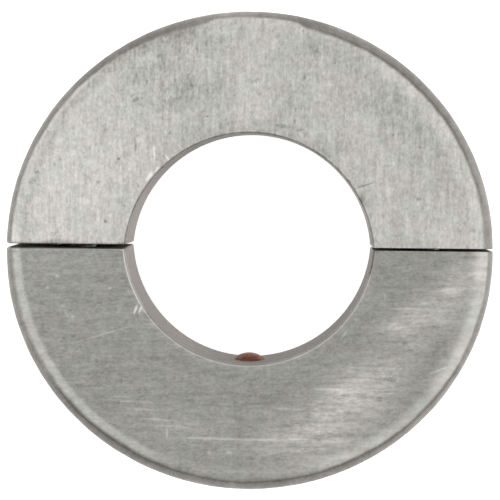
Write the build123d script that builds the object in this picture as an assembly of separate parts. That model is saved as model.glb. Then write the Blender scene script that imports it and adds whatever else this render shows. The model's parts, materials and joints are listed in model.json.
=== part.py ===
"""Two-piece shaft collar of cast zinc, of the kind clamped round a boat's propeller shaft.

Two half rings close round the shaft and are drawn together by two socket head cap screws, each
with a split lock washer under its head and a hex nut let into the other half. A copper ball,
cast into the lower half, stands a little proud of the bore so that it bites on the shaft.

Millimetres. +Z is the shaft's axis, +Y points at the upper half, and +X to the right-hand
screw. The origin is on the back face, in the middle of the collar's outline. Each piece is made
about the split, which runs just above that middle, and main() moves them all up by SPLIT_RISE.
The collar is drawn closed, with no shaft in it, so its bore is a little lower than it is wide.
"""
from build123d import *

import os

# Body
THICKNESS = 12.7
SHAFT_RADIUS = 12.7
UPPER_BORE_OFFSET = 1.0  # the upper half's bore is struck from a point this far past the split
LOWER_BORE_OFFSET = 0.8  # and the lower half's from a point this far past it on the other side
OUTSIDE_HALF_WIDTH = 24.9
UPPER_RISE = 24.15  # from the split to the top of the upper half
LOWER_DROP = 24.84  # from the split to the bottom of the lower half
LOWER_STRAIGHT = 0.7  # short straight flank below the split, before the lower half curves in
RIGHT_GAP = 0.26  # slit between the mating faces on the right of the bore
LEFT_GAP = 0.36  # and on its left, where the halves stand a little further apart
RIM_FILLET = 0.75
BORE_CHAMFER = 0.15

# Cut-off casting gate on the upper half's rim, at the front face
GATE_WIDTH = 9.7
GATE_DEPTH = 6.0
GATE_ROOT = 22.4  # height above the split at which the gate's flat starts
GATE_CHAMFER = 0.4

# Copper contact: a 3/16 in ball
BALL_RADIUS = 25.4 * 3 / 32
BALL_PROUD = 0.8
CAST_CLEARANCE = 0.01

# Screws: No. 10-24 by 5/8 in socket head cap screws, one each side of the bore
SCREW_OFFSET = 17.9
SCREW_LENGTH = 25.4 * 5 / 8
THREAD_PITCH = 25.4 / 24
THREAD_CREST = 2.38
THREAD_ROOT = 1.76
CREST_HALF_WIDTH = THREAD_PITCH / 16
FLANK_SLOPE = 0.57735  # a 60 degree thread: each flank leans 30 degrees
TIP_CHAMFER = 0.8
HEAD_RADIUS = 3.96
HEAD_HEIGHT = 4.83
HEAD_CHAMFER = 0.35
SOCKET_ACROSS_FLATS = 25.4 * 5 / 32
SOCKET_DEPTH = 2.4
SEAT_HEIGHT = 4.6  # of the screw's seat above the split, and of the nut's seat below it
HOLE_RADIUS = 2.6
COUNTERBORE_RADIUS = 4.35

# Lock washers and nuts
WASHER_INNER = 2.5
WASHER_OUTER = 3.75
WASHER_THICKNESS = 1.2
WASHER_SPLIT = 0.5
WASHER_SPLIT_LEAN = 30
NUT_ACROSS_FLATS = 25.4 * 11 / 32
NUT_THICKNESS = 25.4 / 8
NUT_BORE = 1.96
THREAD_CLEARANCE = 0.15  # between the screw's thread and the nut's, all round
POCKET_CLEARANCE = 0.1
CORNER_CUT = 0.4

# Worked out from the above
SPLIT_RISE = (LOWER_DROP - UPPER_RISE) / 2
MID = THICKNESS / 2
UNDER_HEAD = SEAT_HEIGHT + WASHER_THICKNESS
BALL_CENTRE = LOWER_BORE_OFFSET - SHAFT_RADIUS + BALL_PROUD - BALL_RADIUS
FAR = 2 * OUTSIDE_HALF_WIDTH  # longer than anything that is cut
OVERRUN = 1.0  # how far a blank runs past the split before its mating faces are cut


def upright(shape, x=0.0, y=0.0):
    """Turn a shape made about +Z so that it lies along +Y, at mid-thickness, x across and y up."""
    return Pos(x, y, MID) * Rot(-90, 0, 0) * shape


def rod(radius, bottom, top, x):
    """A round bar along Y between two heights, on the screw's line at x."""
    bar = Cylinder(radius, top - bottom, align=(Align.CENTER, Align.CENTER, Align.MIN))
    return upright(bar, x, bottom)


def hexagon(across_flats, length):
    """A hexagonal bar along +Z from 0, with two flats facing +Y and -Y."""
    return extrude(RegularPolygon(across_flats / 2, 6, major_radius=False), length)


def half_outline(rise, straight, side):
    """The filled outline of one half: a half ellipse on straight flanks that run past the split.

    side is +1 for the upper half and -1 for the lower one.
    """
    curve_end = side * straight
    past = -side * OVERRUN
    first_angle = 0 if side > 0 else 180
    centre = (0, curve_end)
    curve = EllipticalCenterArc(
        centre, OUTSIDE_HALF_WIDTH, rise - straight, first_angle, arc_size=180
    )
    corners = [
        (-OUTSIDE_HALF_WIDTH, curve_end),
        (-OUTSIDE_HALF_WIDTH, past),
        (OUTSIDE_HALF_WIDTH, past),
        (OUTSIDE_HALF_WIDTH, curve_end),
    ]
    return make_face(curve + Polyline(*corners))


def past_the_split(side):
    """What is taken off one half at the split: everything past its two mating faces."""
    right = Pos(FAR / 2, side * (RIGHT_GAP / 2 - FAR / 2)) * Rectangle(FAR, FAR)
    left = Pos(-FAR / 2, side * (LEFT_GAP / 2 - FAR / 2)) * Rectangle(FAR, FAR)
    return extrude(right + left, THICKNESS)


def half_ring(rise, straight, bore_offset, side):
    """One half of the collar before its pockets, with rounded rims and a bevelled bore."""
    bore = Pos(0, -side * bore_offset) * Cylinder(SHAFT_RADIUS, 3 * THICKNESS)
    body = extrude(half_outline(rise, straight, side), THICKNESS) - bore - past_the_split(side)
    flat_edges = body.edges().group_by(Axis.Z)[0] + body.edges().group_by(Axis.Z)[-1]
    bore_edges = flat_edges.filter_by(GeomType.CIRCLE)
    mating_edges = flat_edges.filter_by(Axis.X)
    outside_edges = flat_edges - bore_edges - mating_edges
    body = fillet(outside_edges, RIM_FILLET)
    flat_edges = body.edges().group_by(Axis.Z)[0] + body.edges().group_by(Axis.Z)[-1]
    return chamfer(flat_edges.filter_by(GeomType.CIRCLE), BORE_CHAMFER)


def gate():
    """The stub left where the casting gate was cut off: it fills the rounded rim flush."""
    outline = half_outline(UPPER_RISE, 0, 1)
    window = Pos(0, GATE_ROOT + FAR / 2) * Rectangle(GATE_WIDTH, FAR)
    stub = extrude(outline & window, GATE_DEPTH)
    rim = stub.edges().group_by(Axis.Z)[-1].sort_by(Axis.Y)[-1]
    return Pos(0, 0, THICKNESS - GATE_DEPTH) * chamfer(rim, GATE_CHAMFER)


def make_upper_half():
    body = half_ring(UPPER_RISE, 0, UPPER_BORE_OFFSET, 1) + gate()
    for x in (-SCREW_OFFSET, SCREW_OFFSET):
        body = body - rod(HOLE_RADIUS, -1, FAR, x)
        body = body - rod(COUNTERBORE_RADIUS, SEAT_HEIGHT, FAR, x)
    return body


def make_lower_half():
    body = half_ring(LOWER_DROP, LOWER_STRAIGHT, LOWER_BORE_OFFSET, -1)
    pocket = hexagon(NUT_ACROSS_FLATS + 2 * POCKET_CLEARANCE, FAR)
    for x in (-SCREW_OFFSET, SCREW_OFFSET):
        body = body - rod(HOLE_RADIUS, -FAR, 1, x)
        body = body - upright(pocket, x, -SEAT_HEIGHT - FAR)
    return body - Pos(0, BALL_CENTRE, MID) * Sphere(BALL_RADIUS + CAST_CLEARANCE)


def make_contact():
    return Pos(0, BALL_CENTRE, MID) * Sphere(BALL_RADIUS)


def thread_ridge(root, crest, crest_half_width, start, turns):
    """The right-hand ridge of a thread about +Z, wide at its root and narrow at its crest."""
    root_half_width = crest_half_width + (crest - root) * FLANK_SLOPE
    corners = [
        (root, start - root_half_width),
        (crest, start - crest_half_width),
        (crest, start + crest_half_width),
        (root, start + root_half_width),
    ]
    section = make_face(Plane.XZ * Polyline(*corners, close=True))
    centre_line = Helix(THREAD_PITCH, turns * THREAD_PITCH, (root + crest) / 2, (0, 0, start))
    return sweep(section, path=centre_line, is_frenet=True)


def make_screw(x):
    """A cap screw made about +Z, tip at 0, threaded all the way up to its head."""
    turns = int(SCREW_LENGTH / THREAD_PITCH)
    rising = (Align.CENTER, Align.CENTER, Align.MIN)
    core = Cylinder(THREAD_ROOT, SCREW_LENGTH, align=rising)
    ridge = thread_ridge(THREAD_ROOT - 0.1, THREAD_CREST, CREST_HALF_WIDTH, -THREAD_PITCH, turns)
    limit = Cylinder(THREAD_CREST + 0.1, SCREW_LENGTH, align=rising)
    limit = chamfer(limit.edges().group_by(Axis.Z)[0], TIP_CHAMFER)
    shank = (core + ridge) & limit
    head = Pos(0, 0, SCREW_LENGTH) * Cylinder(HEAD_RADIUS, HEAD_HEIGHT, align=rising)
    head = chamfer(head.edges().group_by(Axis.Z)[-1], HEAD_CHAMFER)
    socket = hexagon(SOCKET_ACROSS_FLATS, SOCKET_DEPTH)
    head = head - Pos(0, 0, SCREW_LENGTH + HEAD_HEIGHT - SOCKET_DEPTH) * socket
    return upright(shank + head, x, UNDER_HEAD - SCREW_LENGTH)


def make_washer(x):
    """A split lock washer, drawn flat under the screw's head."""
    ring = Circle(WASHER_OUTER) - Circle(WASHER_INNER)
    ring = extrude(ring, WASHER_THICKNESS)
    slot = Rot(0, WASHER_SPLIT_LEAN, 0) * Box(WASHER_SPLIT, 2 * WASHER_OUTER, 4 * WASHER_THICKNESS)
    ring = ring - Pos(0, -WASHER_OUTER, WASHER_THICKNESS / 2) * slot
    return upright(ring, x, SEAT_HEIGHT)


def make_nut(x):
    """A hex nut whose thread is cut in step with the screw's, a little larger all round."""
    base = SCREW_LENGTH - UNDER_HEAD - SEAT_HEIGHT - NUT_THICKNESS
    blank = Pos(0, 0, base) * hexagon(NUT_ACROSS_FLATS, NUT_THICKNESS)
    corner_radius = NUT_ACROSS_FLATS / 3**0.5
    turned = Pos(0, 0, base + NUT_THICKNESS / 2) * Cylinder(corner_radius, NUT_THICKNESS)
    turned = chamfer(turned.edges().filter_by(GeomType.CIRCLE), CORNER_CUT / 2, CORNER_CUT)
    root = NUT_BORE - 0.04
    crest = THREAD_CREST + THREAD_CLEARANCE
    crest_half_width = CREST_HALF_WIDTH + THREAD_CLEARANCE * FLANK_SLOPE
    start = (int(base / THREAD_PITCH) - 1) * THREAD_PITCH
    turns = round(NUT_THICKNESS / THREAD_PITCH) + 3
    tap = Cylinder(NUT_BORE, FAR) + thread_ridge(root, crest, crest_half_width, start, turns)
    nut = (blank & turned) - tap
    return upright(nut, x, UNDER_HEAD - SCREW_LENGTH)


def main():
    parts = {
        "upper_half": make_upper_half(),
        "lower_half": make_lower_half(),
        "copper_contact": make_contact(),
    }
    for side, x in (("left", -SCREW_OFFSET), ("right", SCREW_OFFSET)):
        parts[f"cap_screw_{side}"] = make_screw(x)
        parts[f"lock_washer_{side}"] = make_washer(x)
        parts[f"hex_nut_{side}"] = make_nut(x)
    os.makedirs("parts", exist_ok=True)
    for name, shape in parts.items():
        export_step(Pos(0, SPLIT_RISE, 0) * shape, f"parts/{name}.step")


main()
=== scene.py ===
"""The looks of a two-piece zinc shaft collar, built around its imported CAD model.

Metres, in the CAD frame: +Z along the shaft, out of the front face, and +Y towards the upper half.
The two half rings are remade here as cast and ground pieces, with their uneven rims, waves and
wear. The screws, washers, nuts and copper contact keep their CAD shapes.
"""
import json
import math

import bmesh
import bpy
import numpy as np
from mathutils import Matrix, Vector


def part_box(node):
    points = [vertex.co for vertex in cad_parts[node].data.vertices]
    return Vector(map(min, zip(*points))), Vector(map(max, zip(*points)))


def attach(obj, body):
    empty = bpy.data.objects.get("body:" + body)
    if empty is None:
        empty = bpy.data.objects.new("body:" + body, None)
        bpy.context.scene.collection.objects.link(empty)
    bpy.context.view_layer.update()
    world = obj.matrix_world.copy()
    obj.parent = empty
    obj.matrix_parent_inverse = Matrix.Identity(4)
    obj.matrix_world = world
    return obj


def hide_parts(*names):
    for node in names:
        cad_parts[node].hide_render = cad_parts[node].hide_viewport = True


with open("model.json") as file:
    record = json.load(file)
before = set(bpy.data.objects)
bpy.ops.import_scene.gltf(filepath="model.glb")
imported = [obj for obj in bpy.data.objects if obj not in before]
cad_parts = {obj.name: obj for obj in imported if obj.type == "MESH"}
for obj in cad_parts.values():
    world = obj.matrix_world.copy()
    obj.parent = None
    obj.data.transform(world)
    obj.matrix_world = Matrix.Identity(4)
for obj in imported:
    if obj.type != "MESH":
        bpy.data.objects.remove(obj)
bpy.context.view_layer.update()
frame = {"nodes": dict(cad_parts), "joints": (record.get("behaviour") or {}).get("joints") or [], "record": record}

MM = 0.001

# Sizes that the frame gives
UPPER_LOW, UPPER_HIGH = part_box("upper_half")
LOWER_LOW, LOWER_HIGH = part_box("lower_half")
SPLIT = (UPPER_LOW.y + LOWER_HIGH.y) / 2
RIGHT_GAP = UPPER_LOW.y - LOWER_HIGH.y
THICKNESS = UPPER_HIGH.z
HALF_WIDTH = UPPER_HIGH.x
WASHER_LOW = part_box("lock_washer_right")[0]
NUT_LOW, NUT_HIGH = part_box("hex_nut_right")
SCREW_X = next(j["pos_m"][0] for j in frame["joints"] if j["name"] == "cap_screw_right_turn")
SHAFT_RADIUS = frame["record"]["mounts"][0]["dims"]["r_mm"] * MM

# The same sizes as in the CAD model, where the frame doesn't give them
UPPER_BORE_OFFSET = 1.0 * MM
LOWER_BORE_OFFSET = 0.8 * MM
LEFT_GAP = 0.36 * MM
LOWER_STRAIGHT = 0.7 * MM
HOLE_RADIUS = 2.6 * MM
COUNTERBORE_RADIUS = 4.35 * MM
POCKET_CLEARANCE = 0.1 * MM

# Mesh density
LINE_POINTS = 2001  # of the outlines that the sections are placed on
FACE_STEPS = 72
WALL_STEPS = 34
RIM_STEPS = 5  # on each side of a rim's middle
EDGE_STEPS = 4  # round each edge of a mating face
STATION = 0.19 * MM  # from one section to the next
HOLE_SIDES = 64
COUNTERBORE_SIDES = 96
SMOOTH_ANGLE = 35  # degrees, above which an edge stays sharp

# Rims
CAST_RIM = 1.35 * MM  # radius of the cast rim before its face was ground
BACK_RIM = 0.9 * MM
BORE_EDGE = 0.16 * MM
DRAFT = 0.13 * MM  # the left mating faces close up by this much towards the back
DRAFT_REACH = (0.5 * MM, 2.5 * MM)  # from the split, over which the draft fades out

# Unevenness of the rim's edge: waves in a turn, height and phase
RIM_WAVES = [(17, 0.025 * MM, 1.0), (41, 0.0175 * MM, 0.5), (83, 0.0125 * MM, 0.0)]
# Unevenness of the surfaces: size of the waves and their height
SKIN_LUMPS = (3.1 * MM, 0.025 * MM)
SKIN_GRAIN = (0.9 * MM, 0.014 * MM)
FACE_WAVES = (4.0 * MM, 0.006 * MM)
BORE_SHARE = 0.4  # how uneven the bore is, against the outside
BACK_CLOUDS = (5.0 * MM, 0.10)  # size and tone of the back face's clouds
LUMP_SEED, GRAIN_SEED, WAVE_SEED, CLOUD_SEED = 3, 5, 11, 21
NOISE_TABLE = 4096  # how many random numbers the noise picks from
NOISE_KEYS = (73856093, 19349663, 83492791)  # large primes that spread the lattice over them

# Width of the rim, in mm, at angles in degrees round from +X. The gate is from 79 to 101 degrees.
UPPER_RIM = [
    (0, 0.90), (30, 0.92), (45, 0.97), (76, 1.14), (79, 0.66), (99.5, 0.62), (102, 0.98),
    (114, 0.96), (122, 0.80), (135, 0.66), (150, 0.62), (165, 0.58), (180, 0.50),
]
LOWER_RIM = [
    (180, 0.60), (195, 0.68), (215, 0.84), (240, 1.02), (270, 1.0), (290, 0.98), (305, 0.86),
    (320, 0.76), (335, 0.62), (350, 0.54), (360, 0.52),
]

RIGHT_EDGE = 0.07 * MM  # rounding of the mating faces' edges on the right of the bore
LEFT_EDGE = 0.25 * MM  # and on its left

# Camera
CAMERA_DISTANCE = 255 * MM
CAMERA_ASIDE = (5.8 * MM, 7.3 * MM)
CAMERA_TARGET = (0.10 * MM, 0.13 * MM)
CAMERA_ROLL = 0.6  # degrees, which lowers the right-hand end of the split
FRAME_WIDTH = 50.97 * MM  # what the picture takes in at the front face

# Ground faces. The upper half's colour is painted lighter and the lower half's darker: painted light and shade
# that stand in for how the two brushing directions catch the light
UPPER_FACE_PAINTED_LIGHTER = (0.433, 0.425, 0.403)
LOWER_FACE_PAINTED_DARKER = (0.256, 0.254, 0.238)
WARM_TINT = (1.018, 0.994, 0.988)
COOL_TINT = (0.984, 1.004, 0.990)
UPPER_LINES, LOWER_LINES = 90, 2  # degrees that the brushed lines run at

# Other colours
SKIN_DARK = (0.260, 0.246, 0.229, 1)
SKIN_LIGHT = (0.338, 0.324, 0.304, 1)
BORE_SKIN = (0.300, 0.272, 0.246, 1)
MATING_FACE = (0.330, 0.300, 0.275, 1)
# The bore edge's colour: worn metal, with a painted highlight.
WORN_EDGE_AND_HIGHLIGHT = (0.66, 0.63, 0.59, 1)
RUST_BROWN = (0.32, 0.22, 0.17, 1)
COPPER_RED = (0.26, 0.105, 0.062, 1)
COPPER_BROWN = (0.135, 0.066, 0.046, 1)
SCREW_STEEL = (0.60, 0.59, 0.57)
NUT_STEEL = (0.56, 0.55, 0.53)
WASHER_STEEL = (0.42, 0.41, 0.39)

# Surroundings
FLOOR_SIZE = 600 * MM  # from its middle to its edge
FLOOR_GAP = 0.05 * MM  # under the collar, so that the two faces don't coincide
FLOOR_WHITE = (0.70, 0.70, 0.70, 1)
FLOOR_GLOW = 0.75
ROOM_LEVEL, ROOM_OVERHEAD = 0.65, 1.05  # how bright the room is level with the collar and above it
KEY_LAMP = ((-0.16, 0.10, 0.34), 0.22, 0.25)  # place and size in metres, and watts
FILL_LAMP = ((0.24, -0.06, 0.26), 0.20, 0.12)

# Painted light and shade on the cast skin round the rounded rim and in the bore: how much lighter or darker it is
# painted, at angles in degrees
RIM_PAINTED_LIGHT_AND_SHADE = [
    (0, 0.16), (20, 0.28), (40, -0.06), (60, 0.04), (78, -0.20), (95, 0.12), (115, -0.25),
    (135, -0.16), (160, 0.02), (182, 0.0), (200, 0.0), (222, -0.16), (240, -0.22), (260, -0.04),
    (280, -0.12), (300, -0.06), (320, 0.12), (340, 0.02), (360, 0.16),
]
BORE_PAINTED_LIGHT_AND_SHADE = [
    (0, -0.28), (18, 0.25), (40, 0.14), (60, -0.06), (80, -0.26), (100, -0.33), (118, -0.46),
    (138, -0.26), (160, 0.08), (180, 0.12), (200, -0.06), (240, -0.13), (260, -0.38), (280, -0.44),
    (300, -0.41), (322, -0.45), (342, -0.38), (360, -0.28),
]
# Where a painted shade line runs along the rim's inner edge, in the crease where the ground face meets the rim:
# start and end in degrees
SHADE_LINES = [(4, 77), (212, 335)]
SHADE_LINE_PLACE, SHADE_LINE_BREADTH, SHADE_LINE_DARK = -0.10, 0.14, 0.4  # mm inside the rim, mm, and how dark

# Strips along the rim, of the ground faces: start and end in degrees, where each starts and ends
# in mm inside the rim, how soft its inner end is in mm, and its tone
WORN_STRIPS = [
    (-20, 62, 0.05, 1.3, 0.5, 0.15),
    (96, 136, -0.2, 0.9, 0.8, -0.30),
    (124, 154, 0.3, 1.2, 0.4, -0.18),
    (144, 190, 0.7, 1.6, 0.4, -0.13),
    (172, 254, 0.08, 1.0, 0.22, 0.52),
    (245, 304, 0.3, 1.4, 0.4, 0.16),
    (282, 380, -0.2, 1.0, 0.5, 0.58),
    (318, 380, -0.2, 1.6, 0.8, 0.36),
]
# Strips along the bore: start and end in degrees, where each fades out in mm, and its tone
BORE_STRIPS = [(38, 142, 2.2, -0.15), (196, 352, 1.4, 0.12)]
# The bore's front edge where it is worn bright and a highlight is painted along it: start and end in degrees, and
# how bright
WORN_AND_HIGHLIGHTED_EDGES = [(177, 214, 1.0), (206, 300, 0.45), (290, 352, 0.55)]

# Patches of the front faces, in mm: x, y, half length, half breadth, then degrees of turn and tone
PATCHES = [
    (-18.0, 4.5, 7.0, 5.0, 60, 0.09),
    (-6.5, 16.3, 9.0, 4.5, 22, -0.13),
    (3.6, 14.3, 3.0, 3.0, 0, -0.07),
    (-13.5, 12.0, 7.0, 4.5, 45, 0.03),
    (0.2, 17.0, 5.5, 2.2, 90, 0.08),
    (-7.1, 15.9, 3.2, 1.6, 10, -0.08),
    (-10.0, 18.6, 4.2, 1.7, 30, -0.15),
    (-4.0, 21.4, 4.5, 1.0, 12, -0.13),
    (7.5, 20.8, 3.2, 1.2, -20, -0.10),
    (4.5, 19.5, 3.0, 1.6, 60, -0.07),
    (6.4, 21.0, 1.3, 0.8, 20, -0.14),
    (12.5, 15.5, 7.0, 3.2, -45, -0.06),
    (15.9, 14.0, 7.5, 2.0, -48, -0.09),
    (20.0, 9.5, 3.5, 2.0, 70, -0.05),
    (13.6, 4.5, 4.0, 1.0, 90, 0.08),
    (19.5, 2.6, 3.5, 2.2, 0, 0.08),
    (11.4, 5.3, 1.4, 0.8, 60, -0.10),
    (13.4, -12.2, 11.5, 5.0, 45, 0.13),
    (2.0, -16.6, 4.5, 1.2, 0, 0.12),
    (9.4, -15.2, 5.4, 2.1, 40, 0.58),
    (13.2, -15.2, 3.6, 1.8, 40, 0.40),
    (9.2, -18.9, 2.8, 1.1, 18, 0.24),
    (19.8, -7.2, 1.6, 1.2, 60, 0.22),
    (5.4, -19.2, 7.0, 1.9, 4, 0.38),
    (14.3, -12.3, 2.6, 1.1, 5, 0.24),
    (17.4, -6.4, 3.4, 1.8, 35, 0.40),
    (20.8, -3.6, 3.4, 2.0, 65, 0.44),
    (17.0, -9.6, 2.2, 1.1, 30, 0.24),
    (23.2, -1.6, 2.2, 1.2, 90, 0.30),
    (14.6, -7.6, 1.8, 0.8, 5, 0.30),
    (19.0, -11.0, 2.2, 1.1, 50, -0.10),
    (5.0, -21.8, 4.5, 1.0, 10, 0.16),
    (-6.5, -18.0, 5.5, 2.2, -6, 0.17),
    (-10.5, -14.2, 3.0, 1.6, 10, 0.05),
    (1.0, -16.0, 4.0, 1.6, 0, -0.04),
    (-12.5, -2.5, 6.0, 3.0, 0, -0.02),
]
# Streaks and specks on the front faces, in the same way, with painted shade along the slit
STREAKS_AND_SLIT_SHADE = [
    (-9.8, 10.0, 0.85, 0.10, 92, 0.30),
    (-8.5, 9.5, 0.34, 0.10, -52, 0.34),
    (-8.8, 9.6, 0.25, 0.08, -60, -0.30),
    (-9.5, 8.3, 0.32, 0.12, 60, 0.34),
    (-10.3, 7.5, 0.60, 0.16, 57, 0.36),
    (-11.8, 15.3, 0.32, 0.22, 40, -0.34),
    (-11.2, 14.8, 0.45, 0.16, -20, -0.16),
    (-13.4, 9.3, 0.17, 0.15, 0, -0.36),
    (-11.7, 10.6, 0.12, 0.42, 0, -0.16),
    (-21.7, 7.8, 0.22, 0.18, 0, -0.18),
    (-19.4, 9.2, 0.18, 0.16, 0, -0.22),
    (-15.5, 6.9, 0.22, 0.18, 0, -0.24),
    (-14.7, 2.9, 0.17, 0.15, 0, -0.36),
    (-17.6, 1.0, 0.20, 0.18, 0, -0.24),
    (-16.6, 7.4, 0.55, 0.12, -30, -0.10),
    # These two darken the upper face just above the slit at the left: painted shade along the gap between the
    # halves.
    (-19.4, 0.65, 1.7, 0.42, 0, -0.20),
    (-13.0, 0.55, 0.50, 0.30, 0, -0.30),
    (-4.4, 13.7, 0.15, 0.13, 0, -0.30),
    (3.3, 12.8, 0.75, 0.20, -6, -0.22),
    (5.0, 12.4, 0.40, 0.16, 10, -0.18),
    (5.6, 17.9, 0.45, 0.16, 50, -0.14),
    (11.6, 6.8, 1.05, 0.10, 19, -0.28),
    (10.1, 7.3, 0.32, 0.10, -35, -0.30),
    (11.4, 5.4, 0.50, 0.25, 75, -0.20),
    (17.2, 5.5, 0.22, 0.18, 20, -0.26),
    (19.2, 9.9, 0.22, 0.16, 20, -0.16),
    (14.1, 6.2, 0.70, 0.20, 88, 0.12),
    (-11.55, -6.05, 0.50, 0.12, 70, 0.75),
    (-11.05, -6.05, 0.42, 0.10, 68, 0.60),
    (-10.7, -6.2, 0.30, 0.15, -30, 0.25),
    (-14.7, -8.6, 2.9, 0.09, 17, 0.22),
    (-19.6, -2.7, 0.20, 0.16, 0, 0.34),
    (-20.6, -3.9, 0.18, 0.16, 0, 0.26),
    (-14.2, -3.9, 0.18, 0.14, 0, 0.36),
    (-19.0, -5.8, 0.22, 0.15, 0, 0.22),
    (-18.0, -6.9, 0.18, 0.14, 40, 0.28),
    (-18.6, -6.6, 0.45, 0.12, -55, 0.16),
    (-8.2, -18.7, 0.50, 0.13, 88, 0.34),
    (-13.0, -15.0, 1.1, 0.10, 0, 0.24),
    (-11.5, -15.5, 2.3, 0.12, -3, 0.20),
    (-10.6, -16.3, 0.9, 0.14, -2, 0.26),
    (-9.2, -17.3, 1.7, 0.12, -3, 0.18),
    (-7.6, -18.0, 1.7, 0.12, -2, 0.20),
    (-3.2, -19.2, 3.4, 0.14, -1, 0.36),
    (3.4, -19.2, 3.4, 0.13, 1, 0.28),
    (-1.8, -20.6, 0.30, 0.20, 0, 0.36),
    (-3.9, -20.6, 0.20, 0.18, 0, 0.28),
    (15.9, -9.3, 0.30, 0.24, 30, -0.26),
    (19.3, -12.0, 1.0, 0.12, 22, 0.34),
    (16.1, -5.7, 1.3, 0.13, 1, 0.26),
    (15.0, -7.2, 0.8, 0.12, 0, 0.24),
    (13.9, -14.2, 1.5, 0.10, 0, -0.20),
    (8.0, -14.0, 1.2, 0.14, 0, 0.26),
    (4.4, -16.1, 1.4, 0.14, -2, 0.26),
    (13.2, -12.6, 1.6, 0.13, 1, 0.24),
    (13.9, -4.6, 0.12, 0.50, 0, 0.18),
    (9.8, -8.4, 0.50, 0.10, 52, 0.35),
]
# Rust specks on the front faces, in mm: x, y, radius
RUST = [(22.8, 2.4, 0.26), (21.9, 3.1, 0.16), (-17.4, -2.2, 0.14)]


def lattice_noise(points, cell, seed):
    """Smooth noise in -1..1 at each point, with features about one cell across."""
    table = np.random.default_rng(seed).random(NOISE_TABLE) * 2 - 1
    scaled = np.asarray(points, float) / cell + 1000
    base = np.floor(scaled).astype(np.int64)
    part = scaled - base
    part = part * part * (3 - 2 * part)
    total = np.zeros(len(scaled))
    for corner in np.ndindex(2, 2, 2):
        keys = (base + corner) * NOISE_KEYS
        key = keys[:, 0] ^ keys[:, 1] ^ keys[:, 2]
        weight = np.prod(np.where(corner, part, 1 - part), axis=1)
        total += weight * table[key % NOISE_TABLE]
    return total


def smooth_step(low, high, value):
    t = np.clip((value - low) / (high - low), 0, 1)
    return t * t * (3 - 2 * t)


def points_along(line, shares):
    """The points at these shares of a line's length."""
    lengths = np.r_[0, np.cumsum(np.linalg.norm(np.diff(line, axis=0), axis=1))]
    wanted = shares * lengths[-1]
    return np.c_[np.interp(wanted, lengths, line[:, 0]), np.interp(wanted, lengths, line[:, 1])]


# In what follows, side is 1 for the upper half and -1 for the lower one.


def bore_offset(side):
    """How far past the split the bore of one half is struck from."""
    return UPPER_BORE_OFFSET if side > 0 else LOWER_BORE_OFFSET


def flank_and_rise(side):
    """Height of the straight flank at the split, and of the rounded outline beyond it."""
    straight = 0.0 if side > 0 else LOWER_STRAIGHT
    reach = UPPER_HIGH.y - SPLIT if side > 0 else SPLIT - LOWER_LOW.y
    return straight, reach - straight


def half_lines(side):
    """The outside and the bore of one half as dense lines, from its right mating face to its left."""
    turn = np.linspace(0, math.pi, LINE_POINTS)
    straight, rise = flank_and_rise(side)
    outside = np.c_[HALF_WIDTH * np.cos(turn), straight + rise * np.sin(turn)]
    outside = np.r_[[[HALF_WIDTH, 0]], outside, [[-HALF_WIDTH, 0]]]
    past = 0.2  # radians that the bore's arc runs on past the half circle at both ends
    turn = np.linspace(-past, math.pi + past, LINE_POINTS)
    bore = np.c_[SHAFT_RADIUS * np.cos(turn), SHAFT_RADIUS * np.sin(turn) - bore_offset(side)]
    lines = []
    for line in (outside, bore):
        gap = np.where(line[:, 0] > 0, RIGHT_GAP, LEFT_GAP) / 2
        kept = line[line[:, 1] > gap]
        ends = [np.interp(g / 2, *side_of(line, s)) for g, s in ((RIGHT_GAP, 1), (LEFT_GAP, -1))]
        kept = np.r_[[[ends[0], RIGHT_GAP / 2]], kept, [[ends[1], LEFT_GAP / 2]]]
        kept[:, 1] = SPLIT + side * kept[:, 1]
        lines.append(kept)
    return lines


def side_of(line, sign):
    """Heights and x of the part of a line near the split on one side, rising, for np.interp."""
    below, above = -1.5 * MM, 3 * MM
    near = line[(line[:, 0] * sign > 0) & (line[:, 1] < above) & (line[:, 1] > below)]
    order = np.argsort(near[:, 1])
    return near[order, 1], near[order, 0]


def by_angle(table, angle):
    """The value that a table of (degrees, value) rows gives at an angle."""
    rows = np.array(table)
    return np.interp(angle, rows[:, 0], rows[:, 1])


def between_angles(angle, start, end, fade):
    """1 between two angles and 0 outside them, with a soft start and end of fade degrees."""
    return smooth_step(start, start + fade, angle) * smooth_step(end, end - fade, angle)


def rim_width(side, angle):
    """Width of the cast rim outside the ground face, at an angle in degrees, with its waves."""
    width = by_angle(UPPER_RIM if side > 0 else LOWER_RIM, angle) * MM
    turn = np.radians(angle)
    return width + sum(height * np.sin(count * turn + phase) for count, height, phase in RIM_WAVES)


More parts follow.
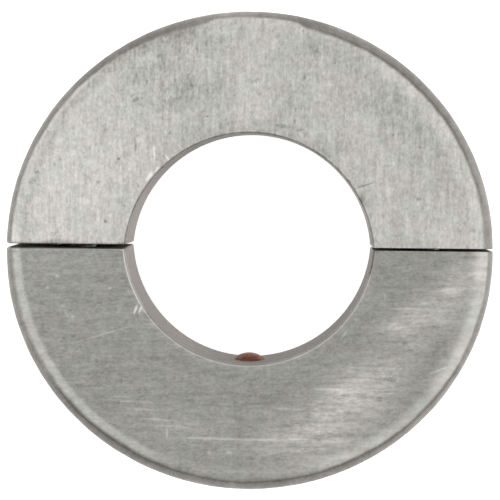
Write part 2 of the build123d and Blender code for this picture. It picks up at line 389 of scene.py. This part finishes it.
def section(width, rim):
    """One cross-section of the ring, as rows of distance from the bore, z and outward normal.

    It goes round from the front of the bore over the face, down the outside, back under and up.
    Also returns how many rows the face and the outside have.
    """
    ground = CAST_RIM - math.sqrt(max(CAST_RIM**2 - (CAST_RIM - rim) ** 2, 0))
    first_turn = math.asin((CAST_RIM - rim) / CAST_RIM)
    rim_base = THICKNESS + ground - CAST_RIM
    face = [(BORE_EDGE / 2, THICKNESS - BORE_EDGE / 2, -0.7, 0.7)]
    for d in np.linspace(BORE_EDGE, width - rim, FACE_STEPS + 1):
        face.append((d, THICKNESS, 0, 1))
    arc = []
    for t in np.linspace(first_turn, math.pi / 2, 2 * RIM_STEPS + 1):
        out, up = math.sin(t), math.cos(t)
        arc.append((width - CAST_RIM + CAST_RIM * out, rim_base + CAST_RIM * up, out, up))
    face += arc[1 : RIM_STEPS + 1]
    outside = arc[RIM_STEPS + 1 :]
    for z in np.linspace(rim_base, BACK_RIM, WALL_STEPS + 1)[1:]:
        outside.append((width, z, 1, 0))
    back_arc = []
    for t in np.linspace(0, math.pi / 2, 2 * RIM_STEPS + 1)[1:]:
        out, down = math.cos(t), math.sin(t)
        back_arc.append((width - BACK_RIM + BACK_RIM * out, BACK_RIM - BACK_RIM * down, out, -down))
    outside += back_arc[:RIM_STEPS]
    back = back_arc[RIM_STEPS:]
    for d in np.linspace(width - BACK_RIM, BORE_EDGE, FACE_STEPS + 1)[1:]:
        back.append((d, 0, 0, -1))
    back.append((BORE_EDGE / 2, BORE_EDGE / 2, -0.7, -0.7))
    bore_steps = len(outside) + 1
    bore = []
    for z in np.linspace(BORE_EDGE, THICKNESS - BORE_EDGE, bore_steps):
        bore.append((0, z, -1, 0))
    return np.array(face + outside + back + bore), len(face), len(outside)


def station_shares(length, right_edge, left_edge):
    """Shares of the way round where sections go, with the inset that rounds each mating edge."""
    count = int(length / STATION)
    inner = np.linspace(right_edge, length - left_edge, count)
    first, last = [], []
    for t in np.linspace(0, math.pi / 2, EDGE_STEPS + 1)[:-1]:
        along, inset = 1 - math.cos(t), 1 - math.sin(t)
        first.append((right_edge * along, right_edge * inset))
        last.append((length - left_edge * along, left_edge * inset))
    rows = first + [(s, 0.0) for s in inner] + last[::-1]
    return np.array(rows) / [length, 1]


def half_mesh(side, right_edge, left_edge):
    """The solid of one half ring: sections swept from one mating face to the other, and two ends."""
    outside, bore = half_lines(side)
    length = np.linalg.norm(np.diff(outside, axis=0), axis=1).sum()
    rows = station_shares(length, right_edge, left_edge)
    outer, inner = points_along(outside, rows[:, 0]), points_along(bore, rows[:, 0])
    rings = []
    for out_point, in_point, inset in zip(outer, inner, rows[:, 1]):
        across = out_point - in_point
        width = np.linalg.norm(across)
        angle = math.degrees(math.atan2(out_point[1] - SPLIT, out_point[0])) % 360
        if side < 0 and angle < 90:
            angle += 360
        loop, face_count, wall_count = section(width, rim_width(side, angle))
        distance = loop[:, 0] - inset * loop[:, 2]
        height = loop[:, 1] - inset * loop[:, 3]
        flat = in_point + across / width * distance[:, None]
        rings.append(np.c_[flat, height])
    rings = np.array(rings)
    stations, around = rings.shape[:2]
    vertices = rings.reshape(-1, 3)
    faces = []
    for i in range(stations - 1):
        for k in range(around):
            k2 = (k + 1) % around
            here, there = i * around, (i + 1) * around
            faces.append((here + k, here + k2, there + k2, there + k))
    for end in (0, stations - 1):
        extra, cap = end_cap(rings[end], end * around, len(vertices), face_count, wall_count)
        vertices = np.r_[vertices, extra]
        faces += cap if end else [f[::-1] for f in cap]
    return vertices, faces


def end_cap(ring, ring_start, next_index, face_count, wall_count):
    """A grid that closes one end: front to back in one direction and bore to outside in the other."""
    across, down = face_count - 1, wall_count + 1
    total = len(ring)
    front = list(range(across + 1))
    outer = [across + k for k in range(down + 1)]
    back = [(across + down + k) % total for k in range(across + 1)][::-1]
    inner = [(2 * across + down + k) % total for k in range(down + 1)][::-1]
    index = np.zeros((down + 1, across + 1), int)
    index[0], index[-1] = front, back
    index[:, 0], index[:, -1] = inner, outer
    extra = []
    grid = ring_start + index
    for j in range(1, down):
        for i in range(1, across):
            u, v = i / across, j / down
            edges = (
                (1 - v) * ring[front[i]]
                + v * ring[back[i]]
                + (1 - u) * ring[inner[j]]
                + u * ring[outer[j]]
            )
            corners = (
                (1 - u) * (1 - v) * ring[front[0]]
                + u * (1 - v) * ring[front[-1]]
                + (1 - u) * v * ring[back[0]]
                + u * v * ring[back[-1]]
            )
            grid[j, i] = next_index + len(extra)
            extra.append(edges - corners)
    quads = []
    for j in range(down):
        for i in range(across):
            quads.append((grid[j, i], grid[j, i + 1], grid[j + 1, i + 1], grid[j + 1, i]))
    return np.array(extra), [tuple(int(n) for n in q) for q in quads]


def new_object(name, vertices, faces):
    """A mesh object from points and faces, with its normals outward and its corners kept sharp."""
    mesh = bpy.data.meshes.new(name)
    mesh.from_pydata([tuple(v) for v in vertices], [], faces)
    mesh.update()
    obj = bpy.data.objects.new(name, mesh)
    bpy.context.scene.collection.objects.link(obj)
    tidy_mesh(obj)
    return obj


def tidy_mesh(obj):
    """Turns the normals outward and smooths the shading, except across sharp edges."""
    bm = bmesh.new()
    bm.from_mesh(obj.data)
    bmesh.ops.recalc_face_normals(bm, faces=bm.faces)
    bm.to_mesh(obj.data)
    bm.free()
    obj.data.shade_smooth()
    obj.data.set_sharp_from_angle(angle=math.radians(SMOOTH_ANGLE))


def prism(name, radius, sides, x, low, high):
    """A bar along Y with this many sides, whose first corner points along X."""
    turns = [2 * math.pi * k / sides for k in range(sides)]
    ring = [(x + radius * math.cos(t), radius * math.sin(t) + THICKNESS / 2) for t in turns]
    vertices = [(px, y, pz) for y in (low, high) for px, pz in ring]
    faces = [tuple(range(sides)), tuple(range(sides, 2 * sides))[::-1]]
    for k in range(sides):
        k2 = (k + 1) % sides
        faces.append((k, k2, sides + k2, sides + k))
    return new_object(name, vertices, faces)


def cut(obj, cutter):
    """Takes cutter out of obj and deletes it."""
    modifier = obj.modifiers.new("cut", "BOOLEAN")
    modifier.operation = "DIFFERENCE"
    modifier.solver = "EXACT"
    modifier.object = cutter
    done = obj.evaluated_get(bpy.context.evaluated_depsgraph_get())
    mesh = bpy.data.meshes.new_from_object(done)
    obj.modifiers.clear()
    obj.data = mesh
    bpy.data.objects.remove(cutter)


def uneven(vertices, side):
    """Moves the surface as casting and grinding leave it: waves on the skin, and a little draft."""
    centred = vertices - [0, SPLIT, 0]
    radius = np.hypot(centred[:, 0], centred[:, 1])
    away = centred[:, :2] / radius[:, None]
    front = vertices[:, 2] > THICKNESS - 0.02 * MM
    on_side = (vertices[:, 2] > BACK_RIM / 2) & ~front
    outer = on_side & (radius > 0.8 * HALF_WIDTH)
    bore = on_side & (radius < 1.06 * SHAFT_RADIUS)
    clear_of_split = smooth_step(0.3 * MM, 1.2 * MM, np.abs(centred[:, 1]))
    lump, lump_height = SKIN_LUMPS
    grain, grain_height = SKIN_GRAIN
    wave, wave_height = FACE_WAVES
    skin = lattice_noise(vertices, lump, LUMP_SEED + side) * lump_height
    skin += lattice_noise(vertices, grain, GRAIN_SEED + side) * grain_height
    skin *= clear_of_split
    inward = np.where(outer, np.abs(skin), 0) - np.where(bore, skin * BORE_SHARE, 0)
    vertices[:, :2] -= away * inward[:, None]
    rise = lattice_noise(vertices, wave, WAVE_SEED + side) * wave_height
    vertices[:, 2] += np.where(front, rise * clear_of_split, 0)
    if side < 0:
        depth = 1 - vertices[:, 2] / THICKNESS
        near, far = DRAFT_REACH
        near_split = smooth_step(far, near, np.abs(centred[:, 1])) * (vertices[:, 0] < 0)
        vertices[:, 1] += DRAFT * depth * near_split
    return vertices


def patch_tones(x, y):
    """How much lighter or darker the patches make the ground faces, at points in mm."""
    tone = np.zeros(len(x))
    for px, py, length, breadth, turn, strength in PATCHES:
        t = math.radians(turn)
        along = ((x - px) * math.cos(t) + (y - py) * math.sin(t)) / length
        over = (-(x - px) * math.sin(t) + (y - py) * math.cos(t)) / breadth
        tone += strength * np.exp(-1.4 * (along**2 + over**2))
    return tone


def strip_tones(angle, inside_rim, from_bore):
    """The same for the worn strips along the rim and the bore, at distances in mm from these."""
    tone = np.zeros(len(angle))
    for start, end, near, far, blur, strength in WORN_STRIPS:
        across = smooth_step(near, near + 0.25, inside_rim)
        across = across * smooth_step(far + blur, far - blur, inside_rim)
        tone += strength * between_angles(angle, start, end, 12) * across
    for start, end, far, strength in BORE_STRIPS:
        along = between_angles(angle, start, end, 15)
        tone += strength * along * smooth_step(far, 0, from_bore)
    return tone


def surface_marks(obj, side):
    """Stores on each point how ground it is, how light or dark, and whether it is in the bore."""
    mesh = obj.data
    points = np.zeros(len(mesh.vertices) * 3)
    mesh.vertices.foreach_get("co", points)
    points = points.reshape(-1, 3)
    x, y, z = points[:, 0] / MM, points[:, 1] / MM, points[:, 2]
    height = np.abs(points[:, 1] - SPLIT)
    angle = np.degrees(np.arctan2(points[:, 1] - SPLIT, points[:, 0])) % 360
    angle = np.where((side < 0) & (angle < 90), angle + 360, angle)
    straight, rise = flank_and_rise(side)
    reach = np.hypot(points[:, 0] / HALF_WIDTH, np.maximum(height - straight, 0) / rise)
    inside_rim = ((1 - reach) * HALF_WIDTH - rim_width(side, angle)) / MM
    from_bore = (np.hypot(points[:, 0], height + bore_offset(side)) - SHAFT_RADIUS) / MM
    front = smooth_step(0.25 * MM, 0.15 * MM, THICKNESS - z)
    back = smooth_step(0.035 * MM, 0.012 * MM, z)
    bore = smooth_step(0.30, 0.10, from_bore) * (1 - front)
    # A painted shade line along the rim's inner edge darkens the crease where the ground face meets the rim.
    shade_line = np.zeros(len(points))
    for start, end in SHADE_LINES:
        shade_line += between_angles(angle, start, end, 10)
    shade_line *= np.exp(-(((inside_rim - SHADE_LINE_PLACE) / SHADE_LINE_BREADTH) ** 2))
    shade_line *= smooth_step(1.2 * MM, 0.9 * MM, THICKNESS - z)
    # The skin's tones round the rim and in the bore are painted light and shade.
    rim_painted_light = by_angle(RIM_PAINTED_LIGHT_AND_SHADE, angle) - SHADE_LINE_DARK * shade_line
    skin_painted_light_and_shade = np.where(from_bore < 0.3, by_angle(BORE_PAINTED_LIGHT_AND_SHADE, angle), rim_painted_light)
    # The bore's front edge is worn and has a painted highlight along it.
    edge_wear_and_highlight = np.zeros(len(points))
    for start, end, strength in WORN_AND_HIGHLIGHTED_EDGES:
        edge_wear_and_highlight += strength * between_angles(angle, start, end, 8)
    near_front = z > THICKNESS / 2
    cloud, cloud_tone = BACK_CLOUDS
    back_clouds = cloud_tone * lattice_noise(points, cloud, CLOUD_SEED + side)
    marks = {
        "near_front": near_front,
        "ground": np.maximum(front * smooth_step(-0.02, 0.10, inside_rim), back),
        "bore": bore,
        "mating": smooth_step(LEFT_GAP / 2 + 0.20 * MM, LEFT_GAP / 2 + 0.02 * MM, height),
        "tone": np.where(near_front, patch_tones(x, y), back_clouds),
        "strip_tone": strip_tones(angle, inside_rim, from_bore) * near_front,
        "skin_painted_light_and_shade": skin_painted_light_and_shade,
        "edge_wear_and_highlight": edge_wear_and_highlight * smooth_step(0.30, 0.17, from_bore) * front,
    }
    for key, values in marks.items():
        layer = mesh.attributes.new(key, "FLOAT", "POINT")
        layer.data.foreach_set("value", np.asarray(values, np.float32))


def make_half(name, side):
    """One half ring with its two holes, and its counterbores or nut pockets."""
    vertices, faces = half_mesh(side, RIGHT_EDGE, LEFT_EDGE)
    obj = new_object(name, uneven(vertices, side), faces)
    far = 2 * HALF_WIDTH
    for sign, label in ((-1, "left"), (1, "right")):
        x = sign * SCREW_X
        cut(obj, prism("hole_" + label, HOLE_RADIUS, HOLE_SIDES, x, -far, far))
        if side > 0:
            radius, sides, low, high = COUNTERBORE_RADIUS, COUNTERBORE_SIDES, WASHER_LOW.y, far
        else:
            radius = (NUT_HIGH.x - NUT_LOW.x) / 2 + POCKET_CLEARANCE / math.cos(math.pi / 6)
            sides, low, high = 6, -far, NUT_HIGH.y
        cut(obj, prism("recess_" + label, radius, sides, x, low, high))
    tidy_mesh(obj)
    surface_marks(obj, side)
    return obj


class Shader:
    """A material being built: short names for the nodes that these materials use."""

    def __init__(self, name, metallic, roughness):
        self.material = bpy.data.materials.new(name)
        self.material.use_nodes = True
        self.tree = self.material.node_tree
        self.surface = self.tree.nodes["Principled BSDF"]
        self.surface.inputs["Metallic"].default_value = metallic
        self.surface.inputs["Roughness"].default_value = roughness
        self.place = self.add("ShaderNodeTexCoord").outputs["Object"]

    def add(self, kind, **settings):
        node = self.tree.nodes.new(kind)
        for key, value in settings.items():
            setattr(node, key, value)
        return node

    def put(self, socket, value):
        if isinstance(value, bpy.types.NodeSocket):
            self.tree.links.new(value, socket)
        else:
            socket.default_value = value

    def calc(self, operation, first, second=0.0, third=0.0, clamp=False):
        node = self.add("ShaderNodeMath", operation=operation, use_clamp=clamp)
        for socket, value in zip(node.inputs, (first, second, third)):
            self.put(socket, value)
        return node.outputs[0]

    def mix(self, share, first, second):
        node = self.add("ShaderNodeMix", data_type="RGBA")
        self.put(node.inputs[0], share)
        self.put(node.inputs[6], first)
        self.put(node.inputs[7], second)
        return node.outputs[2]

    def shade(self, colour, factor):
        """A colour made lighter or darker by a factor."""
        node = self.add("ShaderNodeVectorMath", operation="SCALE")
        self.put(node.inputs[0], colour)
        self.put(node.inputs["Scale"], factor)
        return node.outputs[0]

    def placed(self, x, y, scale, turn):
        """Object coordinates from (x, y) in mm, turned by turn degrees and divided by scale in mm."""
        mapping = self.add("ShaderNodeMapping", vector_type="TEXTURE")
        self.put(mapping.inputs["Vector"], self.place)
        mapping.inputs["Location"].default_value = (x * MM, y * MM, 0)
        mapping.inputs["Rotation"].default_value = (0, 0, math.radians(turn))
        mapping.inputs["Scale"].default_value = [c * MM for c in scale]
        return mapping.outputs[0]

    def noise(self, cells_per_mm, detail=2.0, rough=0.5, stretch=(1, 1, 1), turn=0.0):
        """Noise centred on 0, about -0.5 to 0.5, with this many features to a millimetre."""
        node = self.add("ShaderNodeTexNoise")
        self.put(node.inputs["Vector"], self.placed(0, 0, [1 / c for c in stretch], turn))
        node.inputs["Scale"].default_value = cells_per_mm
        node.inputs["Detail"].default_value = detail
        node.inputs["Roughness"].default_value = rough
        return self.calc("SUBTRACT", node.outputs["Fac"], 0.5)

    def spot(self, x, y, length, breadth, turn):
        """1 inside a soft ellipse on the front face, 0 outside it."""
        distance = self.add("ShaderNodeVectorMath", operation="LENGTH")
        self.put(distance.inputs[0], self.placed(x, y, (length, breadth, 1e4), turn))
        return self.band(distance.outputs["Value"], 1.45, 0.45)

    def mark(self, name):
        """One of the values stored on the mesh by surface_marks."""
        return self.add("ShaderNodeAttribute", attribute_name=name).outputs["Fac"]

    def band(self, value, low, high):
        """0 below low, 1 above high, smooth between."""
        node = self.add("ShaderNodeMapRange", interpolation_type="SMOOTHSTEP")
        self.put(node.inputs["Value"], value)
        node.inputs["From Min"].default_value = low
        node.inputs["From Max"].default_value = high
        return node.outputs[0]

    def sum(self, *terms):
        """The sum of (value, weight) pairs."""
        total = 0.0
        for value, weight in terms:
            total = self.calc("MULTIPLY_ADD", value, weight, total)
        return total

    def bump(self, height_mm, strength=1.0):
        node = self.add("ShaderNodeBump")
        node.inputs["Strength"].default_value = strength
        node.inputs["Distance"].default_value = MM
        self.put(node.inputs["Height"], height_mm)
        self.put(self.surface.inputs["Normal"], node.outputs[0])


def zinc(name, side, face_colour_with_painted_light, line_turn):
    """Cast zinc: a rough dark skin, and faces ground on a belt that ran along line_turn degrees."""
    s = Shader(name, 1.0, 0.5)
    lines = s.noise(1.0, 3.0, 0.6, (0.16, 1.5, 1), line_turn)
    fine = s.noise(2.2, 2.0, 0.6, (0.22, 1.3, 1), line_turn)
    speckle = s.noise(3.4, 2.0, 0.6, (0.8, 1.2, 1), line_turn)
    smear = s.noise(0.8, 4.0, 0.65, (0.34, 1.6, 1), line_turn)
    flecks = s.noise(2.6, 3.0, 0.7, (0.45, 1.3, 1), line_turn)
    dots = s.noise(1.5, 3.0, 0.7)
    cloud = s.noise(0.7, 4.0, 0.65)
    tint = s.noise(0.45, 3.0, 0.6)
    pits = s.band(s.noise(1.7, 1.0, 0.5), 0.20, 0.27)
    ground, tone = s.mark("ground"), s.mark("tone")
    near_front = s.mark("near_front")
    spots = [(s.spot(*row[:5]), row[5]) for row in STREAKS_AND_SLIT_SHADE if row[1] * side > 0]
    # The streaks include painted shade just above the slit at the left.
    streaks_and_slit_shade = s.calc("MULTIPLY", near_front, s.sum(*spots))
    patches = s.calc("MULTIPLY", tone, s.sum((smear, 3.6), (flecks, 3.0), (1.0, 1.0)))
    strips = s.calc("MULTIPLY", s.mark("strip_tone"), s.sum((smear, 1.2), (1.0, 1.0)))
    light = s.sum((lines, 0.40), (fine, 0.44), (speckle, 0.62), (dots, 0.58))
    light = s.sum((cloud, 0.50), (pits, -0.15), (light, 1.0))
    light = s.sum((light, 1.0), (patches, 1.0), (strips, 1.0), (streaks_and_slit_shade, 1.25), (1.0, 1.0))
    # The face colour is painted lighter on the upper half and darker on the lower: painted light and shade of the
    # two brushing directions.
    warm = [c * k for c, k in zip(face_colour_with_painted_light, WARM_TINT)] + [1]
    cool = [c * k for c, k in zip(face_colour_with_painted_light, COOL_TINT)] + [1]
    warmth = s.sum((tint, 1.0), (tone, 0.5))
    face = s.shade(s.mix(s.band(warmth, -0.10, 0.14), cool, warm), light)
    for x, y, radius in RUST:
        if y * side > 0:
            share = s.calc("MULTIPLY", s.spot(x, y, radius, radius, 0), near_front)
            face = s.mix(s.calc("MULTIPLY", share, 0.45), face, RUST_BROWN)
    grain = s.noise(3.0, 4.0, 0.65)
    lumps = s.noise(0.7, 4.0, 0.65)
    skin = s.mix(s.band(lumps, -0.25, 0.25), SKIN_DARK, SKIN_LIGHT)
    skin = s.mix(s.mark("bore"), skin, BORE_SKIN)
    # The skin's tone here is painted light and shade round the rim and in the bore.
    skin = s.shade(skin, s.sum((grain, 0.6), (s.mark("skin_painted_light_and_shade"), 1.0), (1.0, 1.0)))
    skin = s.mix(s.mark("mating"), skin, MATING_FACE)
    # Along the bore's front edge the colour is worn metal with a painted highlight.
    colour = s.mix(s.mark("edge_wear_and_highlight"), s.mix(ground, skin, face), WORN_EDGE_AND_HIGHLIGHT)
    s.put(s.surface.inputs["Base Color"], colour)
    face_rough = s.sum((lines, 0.20), (cloud, 0.12), (0.42, 1.0))
    rough = s.sum((ground, s.calc("SUBTRACT", face_rough, 0.58)), (0.58, 1.0))
    s.put(s.surface.inputs["Roughness"], rough)
    cast = s.sum((grain, 0.05), (lumps, 0.16))
    brushed = s.sum((lines, 0.016), (fine, 0.010), (cloud, 0.008), (pits, -0.02), (streaks_and_slit_shade, -0.02))
    s.bump(s.sum((ground, s.calc("SUBTRACT", brushed, cast)), (cast, 1.0)))
    return s.material


def stainless(name, colour, roughness):
    """Turned stainless steel: faint rings and a soft cloudy tint."""
    s = Shader(name, 1.0, roughness)
    cloud = s.noise(0.9, 3.0, 0.6)
    fine = s.noise(6.0, 2.0, 0.6, (1, 3, 1))
    light = s.sum((cloud, 0.25), (fine, 0.12), (1.0, 1.0))
    s.put(s.surface.inputs["Base Color"], s.shade(colour, light))
    s.put(s.surface.inputs["Roughness"], s.sum((fine, 0.15), (cloud, 0.15), (roughness, 1.0)))
    s.bump(s.sum((fine, 0.01), (cloud, 0.01)))
    return s.material


def copper(name):
    """Bare copper with a brown tarnish in patches."""
    s = Shader(name, 1.0, 0.45)
    cloud = s.noise(1.6, 4.0, 0.6)
    tarnish = s.mix(s.band(cloud, -0.08, 0.12), COPPER_RED, COPPER_BROWN)
    s.put(s.surface.inputs["Base Color"], tarnish)
    s.put(s.surface.inputs["Roughness"], s.sum((cloud, 0.3), (0.48, 1.0)))
    s.bump(s.sum((cloud, 0.05), (s.noise(5.0), 0.02)))
    return s.material


def dress(node, material):
    """Gives a CAD node's object this material all over."""
    slots = frame["nodes"][node].data.materials
    slots.clear()
    slots.append(material)


def make_floor():
    """A pale sheet, lit a little from behind as on a light table."""
    signs = ((-1, -1), (1, -1), (1, 1), (-1, 1))
    corners = [(x * FLOOR_SIZE, y * FLOOR_SIZE, -FLOOR_GAP) for x, y in signs]
    floor = new_object("floor", corners, [(0, 1, 2, 3)])
    paper = bpy.data.materials.new("pale_sheet")
    paper.use_nodes = True
    surface = paper.node_tree.nodes["Principled BSDF"]
    surface.inputs["Base Color"].default_value = FLOOR_WHITE
    surface.inputs["Roughness"].default_value = 0.9
    surface.inputs["Emission Color"].default_value = (1, 1, 1, 1)
    surface.inputs["Emission Strength"].default_value = FLOOR_GLOW
    floor.data.materials.append(paper)


def make_light(name, place, size, watts):
    """A square lamp at a place, turned towards the collar."""
    light = bpy.data.lights.new(name, "AREA")
    light.size = size
    light.energy = watts
    obj = bpy.data.objects.new(name, light)
    obj.location = place
    obj.rotation_euler = (-Vector(place)).to_track_quat("-Z", "Y").to_euler()
    bpy.context.scene.collection.objects.link(obj)


def make_world():
    """A soft white room, a little darker towards the horizon."""
    world = bpy.data.worlds.new("white_room")
    bpy.context.scene.world = world
    world.use_nodes = True
    nodes, links = world.node_tree.nodes, world.node_tree.links
    direction = nodes.new("ShaderNodeTexCoord")
    split = nodes.new("ShaderNodeSeparateXYZ")
    ramp = nodes.new("ShaderNodeMapRange")
    ramp.inputs["From Min"].default_value = 0.0
    ramp.inputs["From Max"].default_value = 0.9
    ramp.inputs["To Min"].default_value = ROOM_LEVEL
    ramp.inputs["To Max"].default_value = ROOM_OVERHEAD
    links.new(direction.outputs["Generated"], split.inputs[0])
    links.new(split.outputs["Z"], ramp.inputs["Value"])
    links.new(ramp.outputs[0], nodes["Background"].inputs["Strength"])
    nodes["Background"].inputs["Color"].default_value = (1, 1, 1, 1)


def make_camera():
    """Almost straight in front of the face, a little up and to the right."""
    data = bpy.data.cameras.new("camera")
    data.sensor_width = 36
    data.lens = 36 * CAMERA_DISTANCE / FRAME_WIDTH
    data.clip_start, data.clip_end = 0.01, 10
    camera = bpy.data.objects.new("camera", data)
    target = Vector((*CAMERA_TARGET, THICKNESS))
    camera.location = target + Vector((*CAMERA_ASIDE, CAMERA_DISTANCE))
    back = (camera.location - target).normalized()
    level = Vector((0, 1, 0)).cross(back).normalized()
    right = Matrix.Rotation(math.radians(CAMERA_ROLL), 3, back) @ level
    camera.rotation_euler = Matrix((right, back.cross(right), back)).transposed().to_euler()
    bpy.context.scene.collection.objects.link(camera)
    bpy.context.scene.camera = camera


def make_halves():
    """The two half rings, each on the body of the CAD half that it replaces."""
    # The upper half gets the lighter face colour and the lower half the darker one: painted light and shade of the
    # two brushing directions.
    for body, side, colour, lines in (
        ("upper", 1, UPPER_FACE_PAINTED_LIGHTER, UPPER_LINES),
        ("lower", -1, LOWER_FACE_PAINTED_DARKER, LOWER_LINES),
    ):
        node = body + "_half"
        obj = make_half(node + "_cast", side)
        obj.data.materials.clear()
        obj.data.materials.append(zinc("zinc_" + node, side, colour, lines))
        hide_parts(node)
        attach(obj, body)


def dress_hardware():
    """Materials for the pieces that keep their CAD shapes."""
    steel = stainless("stainless_screw", SCREW_STEEL, 0.30)
    nut_steel = stainless("stainless_nut", NUT_STEEL, 0.34)
    washer_steel = stainless("washer_steel", WASHER_STEEL, 0.40)
    for label in ("left", "right"):
        dress("cap_screw_" + label, steel)
        dress("hex_nut_" + label, nut_steel)
        dress("lock_washer_" + label, washer_steel)
    dress("copper_contact", copper("copper"))


make_camera()
make_world()
make_light("key", *KEY_LAMP)
make_light("fill", *FILL_LAMP)
make_floor()
make_halves()
dress_hardware()
bpy.context.scene.view_settings.view_transform = "Standard"
